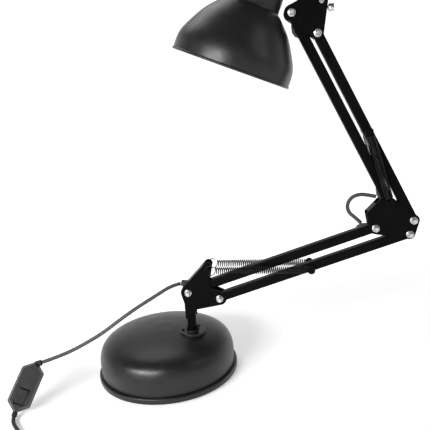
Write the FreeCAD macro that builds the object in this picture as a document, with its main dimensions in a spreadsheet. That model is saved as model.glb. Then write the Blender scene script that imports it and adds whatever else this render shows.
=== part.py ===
import FreeCAD, Part
import os
from math import atan2, cos, degrees, pi, radians, sin, sqrt, tan

import Sketcher
from FreeCAD import Placement, Rotation, Vector

# Swing arm desk lamp.  Millimetres, +Z up.  The origin is the centre of the underside of the round
# base.  The arm folds in a plane parallel to XZ that holds the post, and +X is where the elbow points.

# ---------------------------------------------------------------- driving dimensions

SIZES = {
    # base
    "base_radius": 98.6, "ring_top": 10.7, "plate_bottom": 2.0, "sheet_gauge": 2.0,
    "dome_radius": 94.8, "dome_top": 65.0, "dome_gauge": 1.5,
    "pad_radius": 92.5,
    "weight_radius": 80.0, "weight_bottom": 4.1, "weight_top": 25.0,
    "flange_radius": 17.5, "flange_top": 65.6, "bush_radius": 9.0, "bush_bottom": 7.0, "bush_top": 67.0,
    # post
    "post_x": 41.8, "arm_y": -14.1, "post_radius": 6.0, "post_bottom": 8.0, "post_shoulder": 86.0,
    "collar_radius": 8.0, "collar_height": 4.0,
    # arms
    "pivot_height": 123.1, "arm_length": 260.0, "tube_size": 12.0, "tube_wall": 1.2,
    "tube_corner": 1.6, "tube_overhang": 5.5, "lower_angle": 17.1, "upper_angle": 115.2,
    "spring_pin_at": 128.5,
    # sheet brackets
    "bracket_inside": 13.0, "bracket_outside": 16.0, "bracket_gauge": 1.5,
    # fasteners
    "bolt_radius": 2.5, "bolt_hole": 2.6, "hex_flats": 8.0, "head_height": 3.5, "nut_height": 4.7,
    "washer_radius": 4.7, "washer_height": 1.0,
    # springs
    "spring_radius": 4.9, "spring_side": 15.5, "stud_radius": 2.0, "spring_hook": 7.0,
    "hook_radius": 5.0, "horn_hook_radius": 7.0,
    # head
    "stem_x": 222.0, "stem_radius": 5.0, "stem_bottom": 463.0, "socket_top": 492.0,
    "tilt_x": 214.0, "tilt_height": 509.0, "tongue": 6.0, "fork_gauge": 2.0,
    # shade, along its own axis
    "shade_angle": 23.8, "rim_x": 120.8, "rim_height": 412.1, "bead_radius": 1.5,
    "shade_wall": 1.0, "neck_radius": 33.0, "neck_start": 78.0, "neck_end": 142.0, "cap_height": 7.0,
    "holder_radius": 19.5, "holder_bottom": 86.0, "holder_top": 128.0, "thread_radius": 13.3,
    # switch
    "switch_length": 66.0, "switch_width": 30.0, "switch_depth": 21.0,
    # cord
    "cord_radius": 2.4, "coil_radius": 33.0, "coil_section": 14.4,
}

doc = FreeCAD.newDocument("swing_arm_lamp")
sheet = doc.addObject("Spreadsheet::Sheet", "sizes")
for number, (name, size) in enumerate(SIZES.items(), start=1):
    sheet.set("A%d" % number, name)
    sheet.set("B%d" % number, str(size))
    sheet.setAlias("B%d" % number, name)
doc.recompute()


def size(name):
    """A driving dimension, read back from the sheet."""
    return float(sheet.get(name))


ARM_Y = size("arm_y")
UP = Vector(0, 0, 1)
AWAY = Vector(0, 1, 0)


# ---------------------------------------------------------------- points of the linkage, in XZ

def plus(point, offset):
    return (point[0] + offset[0], point[1] + offset[1])


def along(angle, distance, across=0.0):
    """An offset that runs distance at an angle above +X, then across to its left."""
    turn = radians(angle)
    return (distance * cos(turn) - across * sin(turn), distance * sin(turn) + across * cos(turn))


LOWER_LINK = (42.2, -10.1)
ELBOW_LINK = (46.9, 7.7)
HEAD_LINK = (29.5, -25.6)

LOWER_BACK = (size("post_x"), size("pivot_height"))
LOWER_FRONT = plus(LOWER_BACK, LOWER_LINK)
ELBOW_BACK = plus(LOWER_BACK, along(size("lower_angle"), size("arm_length")))
ELBOW_LOW = plus(ELBOW_BACK, LOWER_LINK)
ELBOW_FRONT = plus(ELBOW_BACK, ELBOW_LINK)
ELBOW_TOP = plus(ELBOW_FRONT, (-HEAD_LINK[0], -HEAD_LINK[1]))
HEAD_LOW = plus(ELBOW_FRONT, along(size("upper_angle"), size("arm_length")))
HEAD_BACK = plus(ELBOW_TOP, along(size("upper_angle"), size("arm_length")))
HORN_STUD = plus(LOWER_BACK, (31.5, 32.5))
TILT = (size("tilt_x"), size("tilt_height"))


def in_plane(point, side=0.0):
    """A point of the arm plane, moved sideways along +Y."""
    return Vector(point[0], ARM_Y + side, point[1])


def tilted(point, angle, side=0.0):
    """A placement at a point of the arm plane, with local X turned up to the angle."""
    return Placement(in_plane(point, side), Rotation(Vector(0, -1, 0), angle))


SHADE = tilted((size("rim_x"), size("rim_height")), -size("shade_angle"))


# ---------------------------------------------------------------- modelling helpers

def new_body(label, placement=None):
    body = doc.addObject("PartDesign::Body", label)
    body.Label = label
    if placement is not None:
        body.Placement = placement
    return body


def new_sketch(body, plane, label, offset=0.0, offset_size=None):
    """An empty sketch on one of the body's own origin planes."""
    sketch = body.newObject("Sketcher::SketchObject", label)
    origin_plane = [item for item in body.Origin.OriginFeatures if item.Role == plane][0]
    sketch.AttachmentSupport = [(origin_plane, "")]
    sketch.MapMode = "FlatFace"
    sketch.AttachmentOffset = Placement(Vector(0, 0, offset), Rotation())
    if offset_size:
        sketch.setExpression("AttachmentOffset.Base.z", offset_size)
    return sketch


def add_circle(sketch, radius, at=(0.0, 0.0)):
    """A circle whose radius follows an expression or is a plain number."""
    value = size(radius.split(".")[1]) if isinstance(radius, str) else radius
    index = sketch.addGeometry(Part.Circle(Vector(at[0], at[1], 0), UP, value), False)
    constraint = sketch.addConstraint(Sketcher.Constraint("Radius", index, value))
    if isinstance(radius, str):
        sketch.setExpression("Constraints[%d]" % constraint, radius)
    return index


def add_polygon(sketch, points):
    """Closed straight-sided outline."""
    ring = list(points) + [points[0]]
    for start, end in zip(ring, ring[1:]):
        sketch.addGeometry(Part.LineSegment(Vector(start[0], start[1], 0), Vector(end[0], end[1], 0)), False)


def pad(body, sketch, length, symmetric=False, reverse=False):
    feature = body.newObject("PartDesign::Pad", body.Label + "_pad")
    feature.Profile = sketch
    set_length(feature, length)
    feature.SideType = "Symmetric" if symmetric else "One side"
    feature.Reversed = reverse
    body.Tip = feature
    return feature


def pocket(body, sketch, length, symmetric=True, reverse=False):
    feature = body.newObject("PartDesign::Pocket", body.Label + "_pocket")
    feature.Profile = sketch
    set_length(feature, length)
    feature.SideType = "Symmetric" if symmetric else "One side"
    feature.Reversed = reverse
    body.Tip = feature
    return feature


def set_length(feature, length):
    if isinstance(length, str):
        feature.setExpression("Length", length)
    else:
        feature.Length = length


def revolve(body, sketch):
    feature = body.newObject("PartDesign::Revolution", body.Label + "_turn")
    feature.Profile = sketch
    feature.ReferenceAxis = (sketch, ["V_Axis"])
    feature.Angle = 360.0
    body.Tip = feature
    return feature


def groove(body, sketch):
    feature = body.newObject("PartDesign::Groove", body.Label + "_groove")
    feature.Profile = sketch
    feature.ReferenceAxis = (sketch, ["V_Axis"])
    feature.Angle = 360.0
    body.Tip = feature
    return feature


def cylinder(label, radius, height, placement):
    """A Part::Cylinder along local Z, its sizes bound to the sheet where they are given as text."""
    solid = doc.addObject("Part::Cylinder", label)
    for field, value in (("Radius", radius), ("Height", height)):
        if isinstance(value, str):
            solid.setExpression(field, value)
        else:
            setattr(solid, field, value)
    solid.Placement = placement
    return solid


def across(point, side):
    """Placement of a cylinder that runs along +Y from the given side of the arm plane."""
    return Placement(in_plane(point, side), Rotation(UP, AWAY))


def upright(x, y, z):
    return Placement(Vector(x, y, z), Rotation())


def fused(label, parts):
    """Solids of one piece joined."""
    joined = doc.addObject("Part::MultiFuse", label)
    joined.Label = label
    joined.Shapes = parts
    return joined


def grouped(label, parts):
    """Identical loose pieces that share one node."""
    group = doc.addObject("Part::Compound", label)
    group.Label = label
    group.Links = parts
    return group


def feature(label, shape, placement=None):
    solid = doc.addObject("Part::Feature", label)
    solid.Label = label
    solid.Shape = shape
    if placement is not None:
        solid.Placement = placement
    return solid


def belt(circles):
    """Closed outline of tangent lines and arcs round circles (x, z, radius), taken anticlockwise.

    A negative radius is a circle that the outline passes on its other side, a hollow fillet."""
    touches = []
    count = len(circles)
    for index in range(count):
        x1, z1, r1 = circles[index]
        x2, z2, r2 = circles[(index + 1) % count]
        distance = sqrt((x2 - x1) ** 2 + (z2 - z1) ** 2)
        heading = atan2(z2 - z1, x2 - x1) - pi / 2 - atan2(r2 - r1, sqrt(distance ** 2 - (r2 - r1) ** 2))
        normal = (cos(heading), sin(heading))
        touches.append(((x1 + r1 * normal[0], z1 + r1 * normal[1]), (x2 + r2 * normal[0], z2 + r2 * normal[1])))
    edges = []
    for index in range(count):
        leave, arrive = touches[index]
        edges.append(Part.LineSegment(Vector(leave[0], leave[1], 0), Vector(arrive[0], arrive[1], 0)))
        x, z, radius = circles[(index + 1) % count]
        onward = touches[(index + 1) % count][0]
        start = atan2(arrive[1] - z, arrive[0] - x)
        stop = atan2(onward[1] - z, onward[0] - x)
        if radius > 0:
            turn = (stop - start) % (2 * pi)
        else:
            turn = -((start - stop) % (2 * pi))
        middle = start + turn / 2
        top = Vector(x + abs(radius) * cos(middle), z + abs(radius) * sin(middle), 0)
        edges.append(Part.Arc(Vector(arrive[0], arrive[1], 0), top, Vector(onward[0], onward[1], 0)))
    return edges, touches


def add_edges(sketch, edges):
    for edge in edges:
        sketch.addGeometry(edge, False)


def sheet_bracket(label, origin, outline, webs, holes):
    """Folded sheet: two equal cheeks, joined by webs that follow straight stretches of the outline.

    webs lists (stretch, from, to) with the fractions of the stretch that the fold covers."""
    body = new_body(label, tilted(origin, 0))
    edges, touches = belt(outline)
    profile = new_sketch(body, "XZ_Plane", label + "_outline")
    add_edges(profile, edges)
    pad(body, profile, "sizes.bracket_outside", symmetric=True)
    doc.recompute()
    inside = new_sketch(body, "XZ_Plane", label + "_inside")
    add_polygon(inside, [(-60, -60), (90, -60), (90, 80), (-60, 80)])
    pocket(body, inside, "sizes.bracket_inside")
    doc.recompute()
    gauge = size("bracket_gauge")
    for stretch, begin, end in webs:
        start, stop = touches[stretch]
        run = Vector(stop[0] - start[0], stop[1] - start[1], 0)
        inward = Vector(-run.y, run.x, 0).normalize() * gauge
        foot = Vector(start[0], start[1], 0) + run * begin
        top = Vector(start[0], start[1], 0) + run * end
        web = new_sketch(body, "XZ_Plane", label + "_web")
        corners = [foot, top, top + inward, foot + inward]
        add_polygon(web, [(corner.x, corner.y) for corner in corners])
        pad(body, web, "sizes.bracket_outside", symmetric=True)
        doc.recompute()
    drill = new_sketch(body, "XZ_Plane", label + "_holes")
    for x, z, radius in holes:
        add_circle(drill, radius, (x, z))
    pocket(body, drill, 40.0)
    return body


def hexagon(label, flats, height, placement):
    """A hexagonal prism, its width across flats bound to the sheet."""
    prism = doc.addObject("Part::Prism", label)
    prism.Polygon = 6
    prism.setExpression("Circumradius", flats + " / 2 / cos(30)")
    prism.setExpression("Height", height)
    prism.Placement = placement
    return prism


def pivot_set(name, points):
    """Hex bolts from the far side, washers under head and nut, lock nuts on the near side."""
    half = size("bracket_outside") / 2
    washer = size("washer_height")
    bolts = []
    nuts = []
    washers = []
    for index, point in enumerate(points):
        tag = "%s_%d" % (name, index)
        near = -half - washer - size("nut_height") - 1.2
        shank = cylinder(tag + "_shank", "sizes.bolt_radius", half + washer - near, across(point, near))
        head = hexagon(tag + "_head", "sizes.hex_flats", "sizes.head_height", across(point, half + washer))
        bolts.append(fused(tag + "_bolt", [shank, head]))
        blank = hexagon(tag + "_blank", "sizes.hex_flats", "sizes.nut_height",
                        across(point, -half - washer - size("nut_height")))
        nuts.append(bored(tag + "_nut", blank, point))
        for side, edge in (("far", half), ("near", -half - washer)):
            disc = cylinder(tag + side, "sizes.washer_radius", "sizes.washer_height", across(point, edge))
            washers.append(bored(tag + side + "_washer", disc, point))
    grouped(name + "_bolts", bolts)
    grouped(name + "_nuts_and_washers", nuts + washers)
    return [name + "_bolts", name + "_nuts_and_washers"]


def bored(label, blank, point):
    """The blank with the bolt's clearance hole through it."""
    drill = cylinder(label + "_drill", size("bolt_radius") + 0.02, 60.0, across(point, -30.0))
    cut = doc.addObject("Part::Cut", label)
    cut.Base = blank
    cut.Tool = drill
    return cut


# ---------------------------------------------------------------- base

def dome_curve(shrink, steps=9):
    """Flat-topped dome: a superellipse from the rim to the crown."""
    radius = size("dome_radius") - shrink
    rise = size("dome_top") - size("ring_top") - shrink
    points = []
    for step in range(steps + 1):
        turn = step / steps * pi / 2
        points.append(Vector(radius * max(cos(turn), 0.0) ** 0.893,
                             size("ring_top") + rise * sin(turn) ** 0.39, 0))
    points[-1].x = 0.0
    curve = Part.BSplineCurve()
    curve.interpolate(Points=points, InitialTangent=Vector(0, 1, 0), FinalTangent=Vector(-1, 0, 0))
    return curve


def foot_pad():
    body = new_body("foot_pad")
    profile = new_sketch(body, "XY_Plane", "foot_pad_disc")
    add_circle(profile, "sizes.pad_radius")
    pad(body, profile, "sizes.plate_bottom")


def base_ring():
    """Bottom plate with its rolled upstand."""
    body = new_body("base_ring")
    outer = size("base_radius")
    low = size("plate_bottom")
    gauge = size("sheet_gauge")
    top = size("ring_top") - 0.1
    roll = 2.2
    profile = new_sketch(body, "XZ_Plane", "base_ring_section")
    bend = roll * (1 - sqrt(0.5))
    corners = [(0, low), (outer - roll, low), (outer, low + roll), (outer, top - roll), (outer - roll, top),
               (outer - roll - gauge, top), (outer - roll - gauge, low + gauge), (0, low + gauge)]
    points = [Vector(x, z, 0) for x, z in corners]
    add_edges(profile, [Part.LineSegment(points[0], points[1]),
                        Part.Arc(points[1], Vector(outer - bend, low + bend, 0), points[2]),
                        Part.LineSegment(points[2], points[3]),
                        Part.Arc(points[3], Vector(outer - bend, top - bend, 0), points[4])])
    add_edges(profile, [Part.LineSegment(points[n], points[(n + 1) % 8]) for n in range(4, 8)])
    revolve(body, profile)


def base_weight():
    body = new_body("base_weight")
    profile = new_sketch(body, "XY_Plane", "weight_outline", offset_size="sizes.weight_bottom")
    add_circle(profile, "sizes.weight_radius")
    add_circle(profile, size("bush_radius") + 0.05, (size("post_x"), ARM_Y))
    pad(body, profile, "sizes.weight_top - sizes.weight_bottom")


def flange_screw_points():
    radius = size("flange_radius") - 4.2
    return [(size("post_x") + radius * cos(radians(angle)), ARM_Y + radius * sin(radians(angle)))
            for angle in (-60, 60, 180)]


def base_cover():
    """Spun dome, bored for the post bush and the three flange screws."""
    body = new_body("base_cover")
    gauge = size("dome_gauge")
    profile = new_sketch(body, "XZ_Plane", "cover_section")
    outer = dome_curve(0.0)
    inner = dome_curve(gauge)
    low = size("ring_top")
    add_edges(profile, [outer, inner,
                        Part.LineSegment(Vector(size("dome_radius"), low, 0),
                                         Vector(size("dome_radius") - gauge, low, 0)),
                        Part.LineSegment(Vector(0, size("dome_top") - gauge, 0), Vector(0, size("dome_top"), 0))])
    revolve(body, profile)
    doc.recompute()
    holes = new_sketch(body, "XY_Plane", "cover_holes")
    add_circle(holes, size("bush_radius") + 0.05, (size("post_x"), ARM_Y))
    for x, y in flange_screw_points():
        add_circle(holes, 1.45, (x, y))
    pocket(body, holes, 200.0)


def post_flange():
    """Round rosette, hollowed underneath to sit on the dome."""
    body = new_body("post_flange")
    disc = new_sketch(body, "XY_Plane", "flange_disc", offset=54.0)
    add_circle(disc, "sizes.flange_radius", (size("post_x"), ARM_Y))
    add_circle(disc, size("bush_radius") + 0.05, (size("post_x"), ARM_Y))
    for x, y in flange_screw_points():
        add_circle(disc, 1.45, (x, y))
    pad(body, disc, "sizes.flange_top - 54")
    doc.recompute()
    seat = new_sketch(body, "XZ_Plane", "flange_seat")
    curve = dome_curve(-0.02)
    rim = curve.StartPoint
    crown = curve.EndPoint
    centre = Vector(0, rim.y, 0)
    add_edges(seat, [curve, Part.LineSegment(crown, centre), Part.LineSegment(centre, rim)])
    groove(body, seat)


def flange_screws():
    screws = []
    for index, (x, y) in enumerate(flange_screw_points()):
        shank = cylinder("flange_shank_%d" % index, 1.4, 12.0, upright(x, y, size("flange_top") - 12.0))
        head = doc.addObject("Part::Sphere", "flange_dome_%d" % index)
        head.Radius = 3.2
        head.Angle1 = 30.0
        head.Placement = upright(x, y, size("flange_top") - 1.6)
        screws.append(fused("flange_screw_%d" % index, [shank, head]))
    grouped("flange_screws", screws)


def post_bush():
    body = new_body("post_bush")
    profile = new_sketch(body, "XY_Plane", "bush_rings", offset_size="sizes.bush_bottom")
    centre = (size("post_x"), ARM_Y)
    add_circle(profile, "sizes.bush_radius", centre)
    add_circle(profile, size("post_radius") + 0.05, centre)
    pad(body, profile, "sizes.bush_top - sizes.bush_bottom")


# ---------------------------------------------------------------- post and lower bracket

LEG_LEFT, LEG_RIGHT, LEG_FOOT = -6.6, 7.4, -37.6


def post_rod():
    """Round spigot with a flat tenon that the bracket's leg is riveted to."""
    body = new_body("post_rod", upright(size("post_x"), ARM_Y, 0))
    rod = new_sketch(body, "XY_Plane", "rod_section", offset_size="sizes.post_bottom")
    add_circle(rod, "sizes.post_radius")
    pad(body, rod, "sizes.post_shoulder - sizes.post_bottom - 1")
    doc.recompute()
    collar = new_sketch(body, "XY_Plane", "collar_section", offset_size="sizes.bush_top + 0.1")
    add_circle(collar, "sizes.collar_radius")
    pad(body, collar, "sizes.collar_height")
    doc.recompute()
    half = size("bracket_inside") / 2 - 0.05
    tenon = new_sketch(body, "XY_Plane", "tenon_section", offset=size("post_shoulder") - 1.0)
    add_polygon(tenon, [(-5.0, -half), (5.6, -half), (5.6, half), (-5.0, half)])
    pad(body, tenon, 20.0)
    doc.recompute()
    holes = new_sketch(body, "XZ_Plane", "tenon_holes")
    for height in (91.0, 101.0):
        add_circle(holes, 2.02, (0.4, height))
    pocket(body, holes, 40.0)


def lower_bracket():
    stud = (HORN_STUD[0] - LOWER_BACK[0], HORN_STUD[1] - LOWER_BACK[1])
    outline = [(LEG_LEFT + 1, LEG_FOOT + 1, 1.0), (LEG_RIGHT - 1, LEG_FOOT + 1, 1.0),
               (LEG_RIGHT + 4, -28.5, -4.0), (LOWER_LINK[0], LOWER_LINK[1], 9.2),
               (39.6, 12.6, -9.8), (29.3, 36.2, 5.4), (0.0, 0.0, 10.0), (LEG_LEFT - 4, -15.5, -4.0)]
    holes = [(0, 0, size("bolt_hole")), LOWER_LINK + (size("bolt_hole"),), (stud[0] - 1.6, stud[1], 2.02),
             (0.4, 91.0 - size("pivot_height"), 2.02), (0.4, 101.0 - size("pivot_height"), 2.02)]
    sheet_bracket("lower_bracket", LOWER_BACK, outline, [(5, 0.08, 0.76)], holes)


def bracket_rivets():
    """Two rivets through the leg, and a grooved stud on each cheek for the lower springs' hooks."""
    pieces = [rivet("post_rivet_%d" % index, (size("post_x") + 0.4, height), size("stud_radius"))
              for index, height in enumerate((91.0, 101.0))]
    point = (HORN_STUD[0] - 1.6, HORN_STUD[1])
    inner = size("bracket_inside") / 2
    tip = size("spring_side") + 3.0
    for name, side in (("near", -1), ("far", 1)):
        start = min(side * inner, side * tip)
        shank = cylinder("stud_shank_" + name, "sizes.stud_radius", tip - inner, across(point, start))
        head = cylinder("stud_head_" + name, 3.6, 1.4, across(point, tip if side > 0 else -tip - 1.4))
        pieces.append(fused("stud_" + name, [shank, head]))
    grouped("lower_bracket_rivets", pieces)


def rivet(label, point, radius):
    """Rivet right through a sheet bracket, with a flat head on each cheek."""
    half = size("bracket_outside") / 2
    shank = cylinder(label + "_shank", radius, 2 * half, across(point, -half))
    near = cylinder(label + "_near", radius + 1.2, 0.8, across(point, -half - 0.8))
    far = cylinder(label + "_far", radius + 1.2, 0.8, across(point, half))
    return fused(label, [shank, near, far])


# ---------------------------------------------------------------- arm tubes

def arm_tube(label, origin, angle, pin_hole=False):
    """Square tube, drilled for its two pivots and, where a spring pin crosses it, for that pin."""
    body = new_body(label, tilted(origin, angle))
    outer = size("tube_size")
    section = new_sketch(body, "YZ_Plane", label + "_section", offset=-size("tube_overhang"))
    for width, corner in ((outer, size("tube_corner")), (outer - 2 * size("tube_wall"), 0.6)):
        half = width / 2
        edges, _ = belt([(half - corner, half - corner, corner), (corner - half, half - corner, corner),
                         (corner - half, corner - half, corner), (half - corner, corner - half, corner)])
        add_edges(section, edges)
    pad(body, section, "sizes.arm_length + 2 * sizes.tube_overhang")
    doc.recompute()
    holes = new_sketch(body, "XZ_Plane", label + "_holes")
    add_circle(holes, "sizes.bolt_hole")
    add_circle(holes, "sizes.bolt_hole", (size("arm_length"), 0))
    if pin_hole:
        add_circle(holes, size("stud_radius") + 0.52, (size("spring_pin_at"), 0))
    pocket(body, holes, 40.0)
    plugs(label, origin, angle)


def plugs(label, origin, angle):
    """Moulded inserts in both tube ends, bored as the pivot bearings."""
    width = size("tube_size") - 2 * size("tube_wall") - 0.1
    pieces = []
    for name, start, pivot in (("foot", -size("tube_overhang") + 0.2, 0.0),
                               ("head", size("arm_length") - 9.0, size("arm_length"))):
        block = Part.makeBox(14.3, width, width, Vector(start, -width / 2, -width / 2))
        block = block.makeFillet(0.5, [edge for edge in block.Edges if abs(edge.tangentAt(0).x) > 0.9])
        bore = Part.makeCylinder(size("bolt_hole"), 40, Vector(pivot, -20, 0), AWAY)
        channel = Part.makeCylinder(1.6, 20, Vector(start - 1, 0, width / 2 - 1.0), Vector(1, 0, 0))
        pieces.append(block.cut(bore.fuse(channel)))
    feature(label + "_plugs", Part.makeCompound(pieces), tilted(origin, angle))


def cross_pin(label, point):
    """Pin through the tube with a round head at each end, for the springs' other hooks."""
    tip = size("spring_side") + 3.2
    shank = cylinder(label + "_shank", 2.5, 2 * tip, across(point, -tip))
    near = cylinder(label + "_near", 4.8, 1.6, across(point, -tip - 1.6))
    far = cylinder(label + "_far", 4.8, 1.6, across(point, tip))
    fused(label, [shank, near, far])


def tube_glands(label, origin, angle, distances):
    """Wedge-shaped cord inlets on the tube's upper face."""
    foot = size("tube_size") / 2 + 0.05
    wedge = [(-9, foot), (8, foot), (8, foot + 0.8), (0, foot + 3.4), (-6, foot + 2.6), (-9, foot)]
    glands = []
    for distance in distances:
        face = Part.Face(Part.makePolygon([Vector(distance + x, -4.2, z) for x, z in wedge]))
        glands.append(face.extrude(Vector(0, 8.4, 0)))
    feature(label, Part.makeCompound(glands), tilted(origin, angle))


# ---------------------------------------------------------------- springs

def springs(label, start, end, first_ring):
    """A pair of tension springs, one each side of the arm, as the sleeves that their coils fill.

    Each end has a ring; first_ring is the radius of the one at the start."""
    run = Vector(end[0] - start[0], end[1] - start[1], 0)
    last_ring = size("hook_radius")
    hook = size("spring_hook") + 2 * (first_ring - last_ring)
    coil_length = run.Length - hook - size("spring_hook")
    rings = [(first_ring, first_ring - 3.5), (last_ring, run.Length - last_ring + 3.5)]
    pair = []
    for side in (-size("spring_side"), size("spring_side")):
        outer = Part.makeCylinder(size("spring_radius"), coil_length, Vector(hook, side, 0), Vector(1, 0, 0))
        bore = Part.makeCylinder(size("spring_radius") - 1.3, coil_length - 2.4, Vector(hook + 1.2, side, 0),
                                 Vector(1, 0, 0))
        hooks = [Part.makeTorus(radius, 0.65, Vector(centre, side, 0), AWAY) for radius, centre in rings]
        pair.append(outer.cut(bore).fuse(hooks))
    feature(label, Part.makeCompound(pair), tilted(start, degrees(atan2(run.y, run.x))))


# ---------------------------------------------------------------- elbow and head brackets

def elbow_bracket():
    top = (ELBOW_TOP[0] - ELBOW_BACK[0], ELBOW_TOP[1] - ELBOW_BACK[1])
    outline = [(0, 0, 7.8), (LOWER_LINK[0], LOWER_LINK[1], 6.6), (ELBOW_LINK[0], ELBOW_LINK[1], 7.4),
               (top[0], top[1], 5.9), (8.6, 34.6, 3.6), (-7.4, 18.9, 3.6)]
    pivots = [(0, 0), LOWER_LINK, ELBOW_LINK, top]
    holes = [(x, z, size("bolt_hole")) for x, z in pivots]
    sheet_bracket("elbow_bracket", ELBOW_BACK, outline, [(4, 0.35, 0.95)], holes)


def head_bracket():
    outline = [(0, 0, 9.2), (HEAD_LINK[0], HEAD_LINK[1], 7.2), (40.2, 18.0, 4.0), (17.5, 19.0, 4.0),
               (3.0, 18.2, -6.5)]
    holes = [(0, 0, size("bolt_hole")), HEAD_LINK + (size("bolt_hole"),)]
    holes += [(35.2, rise, 1.52) for rise in RIVET_RISES]
    body = sheet_bracket("head_bracket", HEAD_BACK, outline, [(1, 0.45, 0.97)], holes)
    doc.recompute()
    drill = new_sketch(body, "YZ_Plane", "clamp_screw_hole", offset=50.0)
    add_circle(drill, 2.6, (0, CLAMP_RISE))
    pocket(body, drill, 60.0)


# ---------------------------------------------------------------- head joint

CLAMP_RISE = 2.5
RIVET_RISES = (9.8, 17.5)


def head_socket():
    """Block between the cheeks that the head's stem turns in."""
    body = new_body("head_socket", tilted(HEAD_BACK, 0))
    centre = size("stem_x") - HEAD_BACK[0]
    top = size("socket_top") - HEAD_BACK[1]
    block = new_sketch(body, "XZ_Plane", "socket_block")
    add_polygon(block, [(centre - 8, -7), (centre + 11, -7), (centre + 15.2, top), (centre - 8, top)])
    pad(body, block, "sizes.bracket_inside - 0.1", symmetric=True)
    doc.recompute()
    bore = new_sketch(body, "XY_Plane", "socket_bore")
    add_circle(bore, size("stem_radius") + 0.05, (centre, 0))
    pocket(body, bore, 80.0)
    doc.recompute()
    holes = new_sketch(body, "XZ_Plane", "socket_rivet_holes")
    for rise in RIVET_RISES:
        add_circle(holes, 1.52, (35.2, rise))
    pocket(body, holes, 40.0)
    doc.recompute()
    thread = new_sketch(body, "YZ_Plane", "socket_screw_hole", offset=centre)
    add_circle(thread, 2.52, (0, CLAMP_RISE))
    pocket(body, thread, 40.0, symmetric=False, reverse=True)


def socket_fasteners():
    """Two rivets through the block, and the screw through the bracket's web that grips the stem."""
    height = HEAD_BACK[1] + CLAMP_RISE
    start = size("stem_x") + size("stem_radius") + 0.3
    flat = Rotation(UP, Vector(1, 0, 0))
    shank = cylinder("clamp_shank", 2.5, 14.0, Placement(Vector(start, ARM_Y, height), flat))
    head = cylinder("clamp_head", 4.6, 6.0, Placement(Vector(start + 13.6, ARM_Y, height), flat))
    pieces = [fused("clamp_screw", [shank, head])]
    for index, rise in enumerate(RIVET_RISES):
        pieces.append(rivet("socket_rivet_%d" % index, plus(HEAD_BACK, (35.2, rise)), 1.5))
    grouped("socket_fasteners", pieces)


def head_stem():
    """Turned stem with a flat tongue for the tilt bolt."""
    body = new_body("head_stem", Placement(Vector(size("stem_x"), ARM_Y, 0), Rotation()))
    stem = new_sketch(body, "XY_Plane", "stem_section", offset_size="sizes.stem_bottom")
    add_circle(stem, "sizes.stem_radius")
    pad(body, stem, "sizes.socket_top - sizes.stem_bottom + 0.3")
    doc.recompute()
    collar = new_sketch(body, "XY_Plane", "stem_collar", offset=size("socket_top") + 0.3)
    add_circle(collar, 7.4)
    pad(body, collar, 4.0)
    doc.recompute()
    tongue = new_sketch(body, "XZ_Plane", "stem_tongue")
    shift = size("tilt_x") - size("stem_x")
    edges, _ = belt([(0, size("socket_top") + 7.5, 5.5), (shift, size("tilt_height"), 7.6)])
    add_edges(tongue, edges)
    pad(body, tongue, "sizes.tongue", symmetric=True)
    doc.recompute()
    eye = new_sketch(body, "XZ_Plane", "stem_eye")
    add_circle(eye, "sizes.bolt_hole", (shift, size("tilt_height")))
    pocket(body, eye, 40.0)
    doc.recompute()
    nose = new_sketch(body, "YZ_Plane", "stem_cord_nose", offset=2.0)
    add_circle(nose, 3.6, (0, size("socket_top") + 8.0))
    pad(body, nose, 8.0)


SADDLE_SCREWS = ((-11.0, 114.0), (11.0, 114.0))


def tilt_set():
    """Tilt bolt, the two screws that hold the fork to the neck, and the fluted clamping knob."""
    half = size("tongue") / 2 + 0.2 + size("fork_gauge")
    shank = cylinder("tilt_shank", "sizes.bolt_radius", 2 * half + 9.0, across(TILT, -half - 9.0))
    head = hexagon("tilt_head", "sizes.hex_flats", "sizes.head_height", across(TILT, half))
    pieces = [fused("tilt_bolt", [shank, head])]
    flat = Rotation(UP, Vector(1, 0, 0))
    for index, (side, height) in enumerate(SADDLE_SCREWS):
        screw = cylinder("saddle_shank_%d" % index, 1.5, 8.0, SHADE * Placement(Vector(27.6, side, height), flat))
        cap = cylinder("saddle_cap_%d" % index, 2.9, 1.7, SHADE * Placement(Vector(35.45, side, height), flat))
        pieces.append(fused("saddle_screw_%d" % index, [screw, cap]))
    grouped("fork_fasteners", pieces)
    body = new_body("tilt_knob", tilted(TILT, 0))
    disc = new_sketch(body, "XZ_Plane", "knob_disc", offset=half + 0.4)
    edges = []
    lobes = 8
    for lobe in range(lobes):
        turn = 2 * pi * lobe / lobes
        edges.append((7.4 * cos(turn), 7.4 * sin(turn), 2.2))
        hollow = turn + pi / lobes
        edges.append((10.4 * cos(hollow), 10.4 * sin(hollow), -2.0))
    add_edges(disc, belt(edges)[0])
    add_circle(disc, size("bolt_radius") + 0.05)
    pad(body, disc, 10.0)


# ---------------------------------------------------------------- shade, built along its own axis

BELL = [(74.6, 0.0), (72.9, 20.0), (64.4, 37.6), (53.0, 55.2), (42.2, 66.8), (35.4, 73.0)]


def bell_curve(inset):
    """Outer or inner line of the bell, from the rim to the neck."""
    points = [Vector(radius - inset, height - (0.6 * inset if height else 0.0), 0) for radius, height in BELL]
    points.append(Vector(size("neck_radius") - inset, size("neck_start"), 0))
    curve = Part.BSplineCurve()
    curve.interpolate(Points=points, InitialTangent=Vector(-0.02, 1, 0), FinalTangent=Vector(0, 1, 0))
    return curve


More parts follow.
